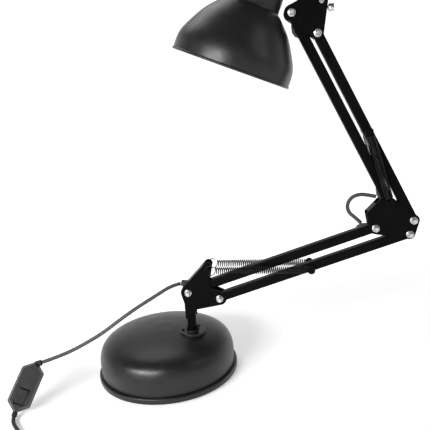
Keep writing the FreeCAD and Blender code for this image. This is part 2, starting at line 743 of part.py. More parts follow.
def shade():
    body = new_body("shade", SHADE)
    wall = size("shade_wall")
    neck = size("neck_radius")
    start, end = size("neck_start"), size("neck_end")
    section = new_sketch(body, "XZ_Plane", "shade_section")
    add_edges(section, [bell_curve(0.0), bell_curve(wall),
                        Part.LineSegment(Vector(BELL[0][0], 0, 0), Vector(BELL[0][0] - wall, 0, 0)),
                        Part.LineSegment(Vector(neck, start, 0), Vector(neck, end, 0)),
                        Part.LineSegment(Vector(neck, end, 0), Vector(neck - wall, end, 0)),
                        Part.LineSegment(Vector(neck - wall, end, 0), Vector(neck - wall, start, 0))])
    revolve(body, section)
    doc.recompute()
    bead = new_sketch(body, "XZ_Plane", "rim_bead")
    add_circle(bead, "sizes.bead_radius", (BELL[0][0] - wall / 2, -0.4))
    revolve(body, bead)
    doc.recompute()
    holes = new_sketch(body, "YZ_Plane", "saddle_screw_holes")
    for spot in SADDLE_SCREWS:
        add_circle(holes, 1.55, spot)
    pocket(body, holes, 60.0, symmetric=False, reverse=True)


def shade_cap():
    """Pressed cap with vent slots round the nipple hole."""
    body = new_body("shade_cap", SHADE)
    start = size("neck_end") + 0.05
    radius = size("neck_radius")
    skirt = size("cap_height")
    wall = size("shade_wall")
    section = new_sketch(body, "XZ_Plane", "cap_section")
    line = [(5.1, start + skirt), (radius - 4, start + skirt)]
    outer = Part.Arc(Vector(line[1][0], line[1][1], 0), Vector(radius - 1.2, start + skirt - 1.2, 0),
                     Vector(radius, start + skirt - 4, 0))
    inner = Part.Arc(Vector(radius - 4, start + skirt - wall, 0),
                     Vector(radius - 1.2 - 0.7 * wall, start + skirt - 1.2 - 0.7 * wall, 0),
                     Vector(radius - wall, start + skirt - 4, 0))
    add_edges(section, [Part.LineSegment(Vector(5.1, start + skirt, 0), Vector(radius - 4, start + skirt, 0)),
                        outer,
                        Part.LineSegment(Vector(radius, start + skirt - 4, 0), Vector(radius, start, 0)),
                        Part.LineSegment(Vector(radius, start, 0), Vector(radius - wall, start, 0)),
                        Part.LineSegment(Vector(radius - wall, start, 0),
                                         Vector(radius - wall, start + skirt - 4, 0)),
                        inner,
                        Part.LineSegment(Vector(radius - 4, start + skirt - wall, 0),
                                         Vector(5.1, start + skirt - wall, 0)),
                        Part.LineSegment(Vector(5.1, start + skirt - wall, 0), Vector(5.1, start + skirt, 0))])
    revolve(body, section)
    doc.recompute()
    slot = new_sketch(body, "XY_Plane", "cap_slots")
    for index in range(12):
        turn = 2 * pi * index / 12
        reach = [(13.0, -1.3), (25.0, -1.3), (25.0, 1.3), (13.0, 1.3)]
        add_polygon(slot, [(x * cos(turn) - y * sin(turn), x * sin(turn) + y * cos(turn)) for x, y in reach])
    pocket(body, slot, 400.0)


def lampholder():
    """E27 holder hung from the cap by a hollow nipple."""
    low, top = size("holder_bottom"), size("holder_top")
    outer = size("holder_radius")
    shell = new_body("lampholder_shell", SHADE)
    section = new_sketch(shell, "XZ_Plane", "holder_section")
    bore = size("thread_radius") + 1.0
    add_polygon(section, [(bore, low), (outer, low), (outer, top - 6), (outer - 5, top), (5.1, top),
                          (5.1, top - 9), (bore, top - 9)])
    revolve(shell, section)
    thread = Part.makeCylinder(size("thread_radius") + 0.95, 24.0, Vector(0, 0, low + 2.0))
    thread = thread.cut(Part.makeCylinder(size("thread_radius"), 24.0, Vector(0, 0, low + 2.0)))
    contact = Part.makeCone(3.5, 7.0, 2.5, Vector(0, 0, top - 11.6))
    feature("lampholder_contacts", Part.makeCompound([thread, contact]), SHADE)
    cap_top = size("neck_end") + size("cap_height")
    tube = Part.makeCylinder(5.0, cap_top + 8.0 - top + 8.0, Vector(0, 0, top - 8.0))
    bore = Part.makeCylinder(3.2, 80.0, Vector(0, 0, top - 20.0))
    corners = [Vector(8.1 * cos(pi * side / 3), 8.1 * sin(pi * side / 3), cap_top + 0.1) for side in range(7)]
    nut = Part.Face(Part.makePolygon(corners)).extrude(Vector(0, 0, 3.0))
    clearance = Part.makeCylinder(5.02, 20.0, Vector(0, 0, cap_top - 10.0))
    feature("nipple_and_nut", Part.makeCompound([tube.cut(bore), nut.cut(clearance)]), SHADE)


def shade_fork():
    """Saddle on the neck with two cheeks round the tongue."""
    body = new_body("shade_fork", SHADE)
    turn = radians(size("shade_angle"))
    dx, dz = TILT[0] - size("rim_x"), TILT[1] - size("rim_height")
    eye = (dx * cos(turn) - dz * sin(turn), dx * sin(turn) + dz * cos(turn))
    gap = size("tongue") + 0.4
    wide = gap + 2 * size("fork_gauge")
    cheeks = new_sketch(body, "XZ_Plane", "fork_cheeks")
    add_edges(cheeks, belt([(eye[0], eye[1], 7.6), (31.0, 137.0, 3.0), (31.0, 109.0, 3.0)])[0])
    pad(body, cheeks, wide, symmetric=True)
    doc.recompute()
    slot = new_sketch(body, "XZ_Plane", "fork_slot")
    add_polygon(slot, [(36.5, 90), (80, 90), (80, 160), (36.5, 160)])
    pocket(body, slot, gap)
    doc.recompute()
    saddle = new_sketch(body, "YZ_Plane", "saddle_plate", offset=26.0)
    add_polygon(saddle, [(-15, 110), (15, 110), (15, 136), (-15, 136)])
    pad(body, saddle, 9.4)
    doc.recompute()
    neck = new_sketch(body, "XY_Plane", "saddle_hollow", offset=100.0)
    add_circle(neck, size("neck_radius") + 0.02)
    pocket(body, neck, 60.0, symmetric=False, reverse=True)
    doc.recompute()
    holes = new_sketch(body, "YZ_Plane", "saddle_holes")
    for spot in SADDLE_SCREWS:
        add_circle(holes, 1.55, spot)
    pocket(body, holes, 60.0, symmetric=False, reverse=True)
    doc.recompute()
    bore = new_sketch(body, "XZ_Plane", "fork_eye")
    add_circle(bore, "sizes.bolt_hole", eye)
    pocket(body, bore, 40.0)


# ---------------------------------------------------------------- cords

def cord_path(points, joined):
    """Straight runs joined by tangent arcs, and the arcs' radii.

    A joined end, 0 or -1, is half way along a run that the next tube goes on with."""
    points = [Vector(*point) for point in points]
    runs = [(after - before).Length for before, after in zip(points, points[1:])]
    if joined is not None:
        runs[joined] *= 2
    edges = []
    radii = []
    last = points[0]
    for index, (before, corner, after) in enumerate(zip(points, points[1:], points[2:])):
        back = before - corner
        ahead = after - corner
        turn = pi - back.getAngle(ahead)
        reach = 0.45 * min(runs[index], runs[index + 1])
        radius = reach / tan(turn / 2)
        radii.append(round(radius, 1))
        enter = corner + back.normalize() * reach
        leave = corner + ahead.normalize() * reach
        bisector = (back + ahead).normalize()
        middle = corner + bisector * (radius / cos(turn / 2) - radius)
        edges.append(Part.LineSegment(last, enter).toShape())
        edges.append(Part.Arc(enter, middle, leave).toShape())
        last = leave
    edges.append(Part.LineSegment(last, points[-1]).toShape())
    return Part.Wire(edges), radii


def cord_tube(label, points, joined=None):
    path, radii = cord_path(points, joined)
    radius = size("cord_radius")
    start = Vector(*points[0])
    heading = Vector(*points[1]) - start
    ring = Part.Wire(Part.makeCircle(radius, start, heading))
    tube = path.makePipeShell([ring], True, False)
    feature(label, tube)
    expected = pi * radius ** 2 * path.Length
    print("%-18s length %6.1f  radii %s  volume ratio %.4f" % (label, path.Length, radii, tube.Volume / expected))


ELBOW_LOOP = [(273.2, 205.8), (266.6, 213.0), (258.8, 219.4), (255.9, 229.4), (261.0, 239.4),
              (271.4, 243.4), (282.4, 241.9), (292.5, 239.1)]
HEAD_LOOP = [(232.0, 500.0), (241.5, 504.5), (247.0, 517.0), (246.0, 535.0), (238.5, 553.0), (223.5, 567.0),
             (205.0, 571.5), (190.5, 566.0), (184.2, 555.9)]
LEAD = [(31.4, -15.2, 134.4), (19.0, -19.7, 133.4), (-3.0, -27.6, 122.2), (-27.0, -36.2, 110.6),
        (-50.0, -44.6, 97.6), (-73.0, -52.9, 83.2), (-102.0, -63.2, 69.8), (-130.0, -72.2, 60.6),
        (-152.4, -78.6, 56.2)]
TAIL = [(-179.6, -119.9, 4.6), (-179.0, -124.4, 3.0), (-174.6, -133.0, 2.45), (-166.0, -143.0, 2.45),
        (-156.5, -153.0, 2.45), (-149.0, -165.0, 2.45), (-145.2, -178.0, 2.45), (-144.4, -191.0, 2.45),
        (-142.6, -203.5, 2.45)]
COIL_CENTRE = (-112.3, -199.1)
PLUG_STEPS = [(0.0, -30.6, 2.45), (12.0, -31.0, 2.45), (25.5, -33.5, 2.6), (39.0, -38.0, 4.8),
              (52.0, -41.0, 7.0), (65.0, -41.0, 7.0)]
PLUG_LEAD = [(COIL_CENTRE[0] + x, COIL_CENTRE[1] + y, z) for x, y, z in PLUG_STEPS]


def flat_route(route):
    return [(x, ARM_Y, z) for x, z in route]


def cords():
    middle = len(ELBOW_LOOP) // 2
    joint = tuple((a + b) / 2 for a, b in zip(ELBOW_LOOP[middle - 1], ELBOW_LOOP[middle]))
    cord_tube("elbow_cord_lower", flat_route(ELBOW_LOOP[:middle] + [joint]), joined=-1)
    cord_tube("elbow_cord_upper", flat_route([joint] + ELBOW_LOOP[middle:]), joined=0)
    cord_tube("head_cord", flat_route(HEAD_LOOP))
    cord_tube("lead_cord", LEAD)
    cord_tube("tail_cord", TAIL)
    cord_tube("plug_cord", PLUG_LEAD)


def coil():
    """Outer shape of the coiled length: a ring with rounded edges."""
    section = size("coil_section")
    foot = Vector(COIL_CENTRE[0], COIL_CENTRE[1], 0.05)
    outline = Part.makeCylinder(size("coil_radius"), section, foot)
    hollow = Part.makeCylinder(size("coil_radius") - section, section, foot)
    ring = outline.cut(hollow)
    round_edges = [edge for edge in ring.Edges if isinstance(edge.Curve, Part.Circle)]
    feature("cord_coil", ring.makeFillet(5.0, round_edges))


def outlet_bush():
    """Soft bush at the foot of the bracket's web, where the mains cord comes out."""
    body = new_body("cord_outlet", tilted(LOWER_BACK, 0))
    side = new_sketch(body, "XZ_Plane", "outlet_side")
    add_polygon(side, [(-9.2, 8.9), (-2.4, 8.9), (-2.4, 11.0), (0.0, 13.6), (-9.2, 14.4)])
    pad(body, side, 10.0, symmetric=True)


# ---------------------------------------------------------------- inline switch and plug

SWITCH_TOP = Vector(-160.1, -78.9, 54.2)
SWITCH_FOOT = Vector(-178.1, -116.6, 10.4)


def switch_placement():
    """Local X runs from the lamp's side to the plug's side, local Z out of the switch's face."""
    run = (SWITCH_FOOT - SWITCH_TOP).normalize()
    face = Vector(0.40, -0.72, 0.56)
    side = face.cross(run).normalize()
    face = run.cross(side)
    return Placement((SWITCH_TOP + SWITCH_FOOT) * 0.5, Rotation(run, side, face, "XYZ"))


def switch_outline():
    end = size("switch_length") / 2 - 4.0
    wide = size("switch_width") / 2 - 3.5
    return belt([(end, 0, 4.0), (20.5, wide, 3.5), (-20.5, wide, 3.5), (-end, 0, 4.0),
                 (-20.5, -wide, 3.5), (20.5, -wide, 3.5)])[0]


def switch():
    place = switch_placement()
    half = size("switch_depth") / 2
    upper = new_body("switch_top_shell", place)
    outline = new_sketch(upper, "XY_Plane", "switch_outline_top", offset=0.05)
    add_edges(outline, switch_outline())
    lid = pad(upper, outline, "sizes.switch_depth / 2 - 0.05")
    lid.TaperAngle = -18.0
    doc.recompute()
    window = new_sketch(upper, "XY_Plane", "switch_window", offset=1.5)
    add_polygon(window, [(2.5, -6.5), (23.2, -6.5), (23.2, 6.5), (2.5, 6.5)])
    pocket(upper, window, 30.0, symmetric=False, reverse=True)
    under = new_body("switch_bottom_shell", place)
    outline = new_sketch(under, "XY_Plane", "switch_outline_bottom")
    add_edges(outline, switch_outline())
    tray = pad(under, outline, "sizes.switch_depth / 2 - 0.05", reverse=True)
    tray.TaperAngle = -7.0
    doc.recompute()
    wells = new_sketch(under, "XY_Plane", "switch_screw_wells", offset=-half)
    for spot in (-21.0, 21.0):
        add_circle(wells, 2.3, (spot, 0))
    pocket(under, wells, 3.0, symmetric=False, reverse=True)
    rocker = new_body("switch_rocker", place)
    side = new_sketch(rocker, "XZ_Plane", "rocker_side")
    add_polygon(side, [(4.4, 5.5), (21.6, 5.5), (22.2, 9.2), (13.0, 10.6), (3.8, 13.2)])
    pad(rocker, side, 12.0, symmetric=True)


def switch_sleeves():
    """Soft sleeves where the cord enters and leaves the switch."""
    pieces = []
    for route, last, length, radius in ((LEAD, -1, 7.5, 3.9), (TAIL, 0, 5.0, 3.5)):
        mouth = Vector(*route[last])
        toward = (Vector(*route[-2 if last else 1]) - mouth).normalize()
        pieces.append(Part.makeCylinder(radius, length, mouth - toward * length, toward))
    feature("switch_sleeves", Part.makeCompound(pieces))


PLUG_TAPER = 22.0


def plug():
    """Flat two-pin plug with a tapered strain relief, lying on its flat side."""
    place = Placement(Vector(*PLUG_LEAD[-1]), Rotation())
    relief = doc.addObject("Part::Cone", "strain_relief")
    relief.setExpression("Radius1", "sizes.cord_radius + 0.7")
    relief.Radius2 = 5.2
    relief.Height = PLUG_TAPER
    relief.Placement = place * Placement(Vector(0, 0, 0), Rotation(UP, Vector(1, 0, 0)))
    grip = new_body("plug_grip", place)
    outline = new_sketch(grip, "XY_Plane", "plug_outline", offset=-6.8)
    add_edges(outline, belt([(PLUG_TAPER + 3.05, -4.5, 3.0), (PLUG_TAPER + 34.0, -11.0, 2.0),
                             (PLUG_TAPER + 34.0, 11.0, 2.0), (PLUG_TAPER + 3.05, 4.5, 3.0)])[0])
    pad(grip, outline, 13.6)
    grouped("plug_body", [relief, grip])
    pins = []
    for side in (-9.5, 9.5):
        pin = Part.makeCylinder(2.0, 17.5, Vector(PLUG_TAPER + 36.05, side, 0), Vector(1, 0, 0))
        tip = Part.makeCone(2.0, 1.0, 1.5, Vector(PLUG_TAPER + 53.55, side, 0), Vector(1, 0, 0))
        pins.append(pin.fuse(tip))
    feature("plug_pins", Part.makeCompound(pins), place)


# ---------------------------------------------------------------- build and write

def linkage_fasteners():
    nodes = pivot_set("lower_pivot", [LOWER_BACK, LOWER_FRONT])
    nodes += pivot_set("elbow_pivot", [ELBOW_BACK, ELBOW_LOW, ELBOW_FRONT])
    nodes += pivot_set("head_pivot", [HEAD_BACK, HEAD_LOW])
    cross_pin("elbow_spring_bolt", ELBOW_TOP)
    lower_pin = plus(LOWER_FRONT, along(size("lower_angle"), size("spring_pin_at")))
    upper_pin = plus(ELBOW_FRONT, along(size("upper_angle"), size("spring_pin_at")))
    cross_pin("lower_spring_pin", lower_pin)
    cross_pin("upper_spring_pin", upper_pin)
    springs("lower_springs", (HORN_STUD[0] - 1.6, HORN_STUD[1]), lower_pin, size("horn_hook_radius"))
    springs("upper_springs", ELBOW_TOP, upper_pin, size("hook_radius"))
    return nodes


def write_parts(names):
    doc.recompute()
    for item in doc.Objects:
        if "Invalid" in item.State or "Error" in item.State:
            raise RuntimeError("%s failed: %s" % (item.Label, item.State))
    os.makedirs("parts", exist_ok=True)
    for name in names:
        shape = doc.getObjectsByLabel(name)[0].Shape
        if shape.isNull() or not shape.isValid():
            raise RuntimeError(name + " has no valid shape")
        shape.exportStep("parts/%s.step" % name)
        print("%-28s %9.1f mm3  %d solids" % (name, shape.Volume, len(shape.Solids)))


SIMPLE_PIECES = {
    "foot_pad": foot_pad, "base_ring": base_ring, "base_weight": base_weight, "base_cover": base_cover,
    "post_flange": post_flange, "flange_screws": flange_screws, "post_bush": post_bush,
    "post_rod": post_rod, "lower_bracket": lower_bracket, "lower_bracket_rivets": bracket_rivets,
    "cord_outlet": outlet_bush, "elbow_bracket": elbow_bracket, "head_bracket": head_bracket,
    "head_socket": head_socket, "socket_fasteners": socket_fasteners, "head_stem": head_stem,
    "shade": shade, "shade_cap": shade_cap, "shade_fork": shade_fork, "cord_coil": coil,
}
for build_piece in SIMPLE_PIECES.values():
    build_piece()
nodes = list(SIMPLE_PIECES)

TUBES = (("lower_arm_top_tube", LOWER_BACK, "lower_angle", False),
         ("lower_arm_bottom_tube", LOWER_FRONT, "lower_angle", True),
         ("upper_arm_back_tube", ELBOW_TOP, "upper_angle", False),
         ("upper_arm_front_tube", ELBOW_FRONT, "upper_angle", True))
for name, origin, angle, has_pin in TUBES:
    arm_tube(name, origin, size(angle), pin_hole=has_pin)
    nodes += [name, name + "_plugs"]

tube_glands("lower_arm_gland", LOWER_BACK, size("lower_angle"), [246.0])
tube_glands("upper_arm_glands", ELBOW_TOP, size("upper_angle"), [13.0, 240.0])
nodes += ["lower_arm_gland", "upper_arm_glands"]

nodes += linkage_fasteners()
nodes += ["elbow_spring_bolt", "lower_spring_pin", "upper_spring_pin", "lower_springs", "upper_springs"]
tilt_set()
lampholder()
cords()
switch()
switch_sleeves()
plug()
nodes += ["fork_fasteners", "tilt_knob", "lampholder_shell", "lampholder_contacts", "nipple_and_nut",
          "elbow_cord_lower", "elbow_cord_upper", "head_cord", "lead_cord", "tail_cord", "plug_cord",
          "switch_top_shell", "switch_bottom_shell", "switch_rocker", "switch_sleeves",
          "plug_body", "plug_pins"]
print(len(nodes), "nodes")
write_parts(nodes)
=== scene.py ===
from math import atan2, cos, pi, radians, sin

import bpy
from mathutils import Matrix, Vector


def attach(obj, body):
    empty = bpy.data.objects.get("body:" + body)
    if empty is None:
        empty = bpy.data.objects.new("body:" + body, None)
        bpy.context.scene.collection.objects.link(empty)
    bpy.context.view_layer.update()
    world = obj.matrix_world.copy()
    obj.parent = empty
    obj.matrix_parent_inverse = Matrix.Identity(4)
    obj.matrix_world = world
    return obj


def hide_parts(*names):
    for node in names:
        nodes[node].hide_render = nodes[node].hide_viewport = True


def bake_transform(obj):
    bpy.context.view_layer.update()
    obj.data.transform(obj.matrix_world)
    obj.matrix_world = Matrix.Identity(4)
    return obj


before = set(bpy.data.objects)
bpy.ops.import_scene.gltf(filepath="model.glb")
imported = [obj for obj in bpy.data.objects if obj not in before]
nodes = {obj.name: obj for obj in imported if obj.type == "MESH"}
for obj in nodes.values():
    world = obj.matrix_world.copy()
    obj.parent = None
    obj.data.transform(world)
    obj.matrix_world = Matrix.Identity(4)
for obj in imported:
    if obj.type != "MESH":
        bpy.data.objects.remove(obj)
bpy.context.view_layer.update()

scene = bpy.context.scene


# ---------------------------------------------------------------- places of the linkage, in metres

ARM_Y = -0.0141
ARM_LENGTH = 0.260
SPRING_PIN_AT = 0.1285
LOWER_LINK = Vector((0.0422, 0, -0.0101))
ELBOW_LINK = Vector((0.0469, 0, 0.0077))
HEAD_LINK = Vector((0.0295, 0, -0.0256))
LOWER_BACK = Vector((0.0418, ARM_Y, 0.1231))
LOWER_FRONT = LOWER_BACK + LOWER_LINK


def heading(degrees):
    """Unit vector in the arm plane, turned up from +X."""
    return Vector((cos(radians(degrees)), 0, sin(radians(degrees))))


LOWER_RUN = heading(17.1)
UPPER_RUN = heading(115.2)
ELBOW_BACK = LOWER_BACK + LOWER_RUN * ARM_LENGTH
ELBOW_FRONT = ELBOW_BACK + ELBOW_LINK
ELBOW_TOP = ELBOW_FRONT - HEAD_LINK
HEAD_BACK = ELBOW_TOP + UPPER_RUN * ARM_LENGTH
HEAD_LOW = ELBOW_FRONT + UPPER_RUN * ARM_LENGTH
HORN_STUD = LOWER_BACK + Vector((0.0299, 0, 0.0325))
LOWER_PIN = LOWER_FRONT + LOWER_RUN * SPRING_PIN_AT
UPPER_PIN = ELBOW_FRONT + UPPER_RUN * SPRING_PIN_AT
SHADE = Matrix.Translation(Vector((0.1208, ARM_Y, 0.4121))) @ Matrix.Rotation(radians(23.8), 4, "Y")


# ---------------------------------------------------------------- materials

def new_material(name):
    """A material with its node tree and its shader."""
    material = bpy.data.materials.new(name)
    material.use_nodes = True
    tree = material.node_tree
    shader = tree.nodes["Principled BSDF"]
    return material, tree, shader


def noise(tree, scale, detail=3.0, rough=0.55, stretch=(1, 1, 1)):
    """A noise texture in the piece's own space."""
    coords = tree.nodes.new("ShaderNodeTexCoord")
    mapping = tree.nodes.new("ShaderNodeMapping")
    mapping.inputs["Scale"].default_value = stretch
    texture = tree.nodes.new("ShaderNodeTexNoise")
    texture.inputs["Scale"].default_value = scale
    texture.inputs["Detail"].default_value = detail
    texture.inputs["Roughness"].default_value = rough
    tree.links.new(coords.outputs["Object"], mapping.inputs["Vector"])
    tree.links.new(mapping.outputs["Vector"], texture.inputs["Vector"])
    return texture.outputs["Fac"]


def ramp(tree, source, low, high, start=0.3, stop=0.7):
    """The source turned into a colour, or into a number when low and high are numbers."""
    node = tree.nodes.new("ShaderNodeMapRange")
    node.inputs["From Min"].default_value = start
    node.inputs["From Max"].default_value = stop
    tree.links.new(source, node.inputs["Value"])
    if not isinstance(low, tuple):
        node.inputs["To Min"].default_value = low
        node.inputs["To Max"].default_value = high
        return node.outputs["Result"]
    mix = tree.nodes.new("ShaderNodeMix")
    mix.data_type = "RGBA"
    mix.inputs["A"].default_value = low + (1,)
    mix.inputs["B"].default_value = high + (1,)
    tree.links.new(node.outputs["Result"], mix.inputs["Factor"])
    return mix.outputs["Result"]


def bump(tree, shader, source, strength, distance, under=None):
    node = tree.nodes.new("ShaderNodeBump")
    node.inputs["Strength"].default_value = strength
    node.inputs["Distance"].default_value = distance
    tree.links.new(source, node.inputs["Height"])
    if under is not None:
        tree.links.new(under.outputs["Normal"], node.inputs["Normal"])
    tree.links.new(node.outputs["Normal"], shader.inputs["Normal"])
    return node


def powder_coat(name, dark, light, low, high, grain=1400.0, strength=0.25, sheen=0.42):
    """Satin powder coat: orange-peel grain, cloudy gloss and a little settled dust."""
    material, tree, shader = new_material(name)
    clouds = noise(tree, 22.0, 4.0, 0.6)
    tree.links.new(ramp(tree, clouds, dark, light), shader.inputs["Base Color"])
    scuffs = noise(tree, 90.0, 5.0, 0.7)
    tree.links.new(ramp(tree, scuffs, low, high), shader.inputs["Roughness"])
    shader.inputs["Specular IOR Level"].default_value = sheen
    peel = bump(tree, shader, noise(tree, grain, 2.0), strength, 0.00008)
    bump(tree, shader, noise(tree, 260.0, 2.0), 0.10, 0.0003, under=peel)
    return material


def metal(name, dark, light, low, high, stretch=(1, 1, 1), scale=600.0):
    """Bare or plated metal with faint stains and drawing lines."""
    material, tree, shader = new_material(name)
    shader.inputs["Metallic"].default_value = 1.0
    stain = noise(tree, 160.0, 4.0, 0.65)
    tree.links.new(ramp(tree, stain, dark, light), shader.inputs["Base Color"])
    lines = noise(tree, scale, 4.0, 0.6, stretch)
    tree.links.new(ramp(tree, lines, low, high), shader.inputs["Roughness"])
    bump(tree, shader, lines, 0.18, 0.00006)
    return material


def moulding(name, dark, light, low, high, grain=1800.0, strength=0.3, depth=0.0001):
    """Moulded, cast or rubbery surface with a fine grain."""
    material, tree, shader = new_material(name)
    wear = noise(tree, 60.0, 4.0, 0.6)
    tree.links.new(ramp(tree, wear, dark, light), shader.inputs["Base Color"])
    tree.links.new(ramp(tree, noise(tree, 140.0, 4.0, 0.7), low, high), shader.inputs["Roughness"])
    bump(tree, shader, noise(tree, grain, 2.0), strength, depth)
    return material


BLACK = powder_coat("black_powder_coat", (0.0060, 0.0060, 0.0064), (0.0100, 0.0100, 0.0105), 0.31, 0.43)
# Painted shade: the arms, brackets and their small parts get a darker, barely reflective copy of the black
# powder coat, so that they come out darker than the base and the shade.
SHADED_ARM_BLACK = powder_coat("shaded_arm_powder_coat", (0.0018, 0.0018, 0.0019), (0.0030, 0.0030, 0.0031), 0.28, 0.40,
                        1700.0, sheen=0.04)
ENAMEL = powder_coat("shade_inner_enamel", (0.74, 0.735, 0.71), (0.82, 0.815, 0.79), 0.38, 0.52, 900.0, 0.15)
ZINC = metal("zinc_plate", (0.52, 0.53, 0.55), (0.70, 0.71, 0.72), 0.22, 0.42)
SPRING = metal("spring_wire", (0.014, 0.014, 0.015), (0.040, 0.040, 0.042), 0.40, 0.55, (1, 1, 1), 900.0)
BLACK_SPRING = metal("blackened_spring_wire", (0.012, 0.012, 0.013), (0.03, 0.03, 0.032), 0.34, 0.5)
IRON = moulding("cast_iron", (0.03, 0.03, 0.03), (0.07, 0.065, 0.06), 0.6, 0.85, 500.0, 0.7, 0.0004)
BRASS = metal("lamp_brass", (0.55, 0.41, 0.19), (0.72, 0.56, 0.30), 0.20, 0.38)
NICKEL = metal("nickel_pins", (0.62, 0.60, 0.56), (0.76, 0.74, 0.70), 0.16, 0.30)
PLASTIC = moulding("black_plastic", (0.012, 0.012, 0.0125), (0.020, 0.020, 0.021), 0.42, 0.58)
ROCKER = moulding("rocker_plastic", (0.010, 0.010, 0.0105), (0.016, 0.016, 0.017), 0.26, 0.36)
BAKELITE = moulding("holder_moulding", (0.010, 0.009, 0.009), (0.016, 0.015, 0.014), 0.16, 0.28, 700.0, 0.1)
RUBBER = moulding("pad_rubber", (0.012, 0.012, 0.012), (0.03, 0.03, 0.029), 0.7, 0.9, 900.0, 0.5)
SHEATH = moulding("cord_sheath", (0.022, 0.022, 0.0235), (0.038, 0.038, 0.040), 0.46, 0.60, 1500.0, 0.25)
NYLON = moulding("nylon_ring", (0.05, 0.055, 0.07), (0.08, 0.085, 0.1), 0.4, 0.55, 900.0, 0.1)
TIE = moulding("tie_plastic", (0.02, 0.02, 0.02), (0.035, 0.035, 0.035), 0.3, 0.4)

FINISHES = {
    BLACK: ("base_cover", "base_ring", "post_flange", "shade", "shade_cap", "shade_fork"),
    # The arm parts take the darker copy of the black powder coat: painted shade.
    SHADED_ARM_BLACK: ("post_rod", "lower_bracket", "elbow_bracket", "head_bracket", "head_socket",
                "lower_arm_top_tube", "lower_arm_bottom_tube", "upper_arm_back_tube",
                "upper_arm_front_tube", "flange_screws", "lower_bracket_rivets",
                "lower_spring_pin", "upper_spring_pin", "elbow_spring_bolt"),
    ZINC: ("lower_pivot_bolts", "elbow_pivot_bolts", "head_pivot_bolts", "socket_fasteners",
           "fork_fasteners", "head_stem"),
    IRON: ("base_weight",),
    RUBBER: ("foot_pad", "cord_outlet", "switch_sleeves"),
    PLASTIC: ("post_bush", "lower_arm_gland", "upper_arm_glands", "lower_arm_top_tube_plugs",
              "lower_arm_bottom_tube_plugs", "upper_arm_back_tube_plugs", "upper_arm_front_tube_plugs",
              "tilt_knob", "switch_top_shell", "switch_bottom_shell", "plug_body"),
    ROCKER: ("switch_rocker",),
    BAKELITE: ("lampholder_shell",),
    BRASS: ("lampholder_contacts", "nipple_and_nut"),
    NICKEL: ("plug_pins",),
}


def round_edges(piece, width, segments=2):
    """Breaks the sharp edges of a CAD piece, which leaves its size alone."""
    weld = piece.modifiers.new("weld", "WELD")
    weld.merge_threshold = 0.00001
    bevel = piece.modifiers.new("bevel", "BEVEL")
    bevel.width = width
    bevel.segments = segments
    bevel.limit_method = "ANGLE"
    bevel.angle_limit = radians(38)
    bevel.harden_normals = True


for material, names in FINISHES.items():
    for name in names:
        piece = nodes[name]
        piece.data.materials.clear()
        piece.data.materials.append(material)

EDGES = {
    0.0004: ("lower_bracket", "elbow_bracket", "head_bracket", "shade_fork", "head_socket", "post_flange",
             "switch_rocker", "plug_pins", "cord_outlet", "lower_arm_gland", "upper_arm_glands"),
    0.0009: ("switch_top_shell", "switch_bottom_shell", "plug_body", "tilt_knob"),
    0.00025: ("lower_pivot_bolts", "elbow_pivot_bolts", "head_pivot_bolts", "lower_bracket_rivets",
              "socket_fasteners", "fork_fasteners", "post_rod", "head_stem"),
    0.0006: ("lower_spring_pin", "upper_spring_pin", "elbow_spring_bolt"),
}
for width, names in EDGES.items():
    for name in names:
        round_edges(nodes[name], width)


# ---------------------------------------------------------------- mesh helpers

def new_piece(name, vertices, faces, material):
    mesh = bpy.data.meshes.new(name)
    mesh.from_pydata([tuple(vertex) for vertex in vertices], [], faces)
    mesh.materials.append(material)
    mesh.polygons.foreach_set("use_smooth", [True] * len(mesh.polygons))
    mesh.update()
    piece = bpy.data.objects.new(name, mesh)
    scene.collection.objects.link(piece)
    return piece


def skin(rows, count, closed):
    """Four-sided faces between neighbouring loops of count points; closed joins the last to the first."""
    faces = []
    for row in range(rows if closed else rows - 1):
        below = row * count
        above = (row + 1) % rows * count
        for k in range(count):
            onward = (k + 1) % count
            faces.append((below + k, below + onward, above + onward, above + k))
    return faces


def sweep(path, section, up):
    """Vertices and faces of a closed-ended tube; section is a loop of (across, along up) offsets."""
    vertices = []
    count = len(section)
    for index, point in enumerate(path):
        before = path[max(index - 1, 0)]
        after = path[min(index + 1, len(path) - 1)]
        tangent = (after - before).normalized()
        side = tangent.cross(up(index, point, tangent)).normalized()
        top = side.cross(tangent).normalized()
        for a, b in section:
            vertices.append(point + side * a + top * b)
    faces = skin(len(path), count, closed=False)
    faces.append(tuple(range(count))[::-1])
    last = (len(path) - 1) * count
    faces.append(tuple(range(last, last + count)))
    return vertices, faces


def ring_section(radius, count=10):
    return [(radius * cos(2 * pi * k / count), radius * sin(2 * pi * k / count)) for k in range(count)]


def twin_section(width=0.0048, height=0.0036, groove=0.00038, count=24):
    """Flat twin flex: two lobes with a groove down the middle of each broad face."""
    lobe = height / 2
    shift = width / 2 - lobe
    loop = []
    for k in range(count):
        turn = 2 * pi * k / count
        x = lobe * cos(turn) + (shift if cos(turn) > 0 else -shift) * min(1.0, abs(cos(turn)) * 3)
        dip = groove * max(0.0, 1 - abs(x) / (0.36 * width)) ** 1.2
        y = (lobe - dip) * sin(turn)
        loop.append((x, y))
    return loop


def spline_points(name, points, resolution=10):
    """The smooth line through a route: a NURBS spline of the route's points, as points of its own."""
    curve = bpy.data.curves.new(name, "CURVE")
    curve.dimensions = "3D"
    spline = curve.splines.new("NURBS")
    spline.points.add(len(points) - 1)
    for target, point in zip(spline.points, points):
        target.co = (point[0], point[1], point[2], 1)
    spline.order_u = 3
    spline.use_endpoint_u = True
    spline.resolution_u = resolution
    guide = bpy.data.objects.new(name, curve)
    scene.collection.objects.link(guide)
    bpy.context.view_layer.update()
    mesh = bpy.data.meshes.new_from_object(guide)
    line = [vertex.co.copy() for vertex in mesh.vertices]
    bpy.data.meshes.remove(mesh)
    bpy.data.objects.remove(guide)
    bpy.data.curves.remove(curve)
    return line


# ---------------------------------------------------------------- camera

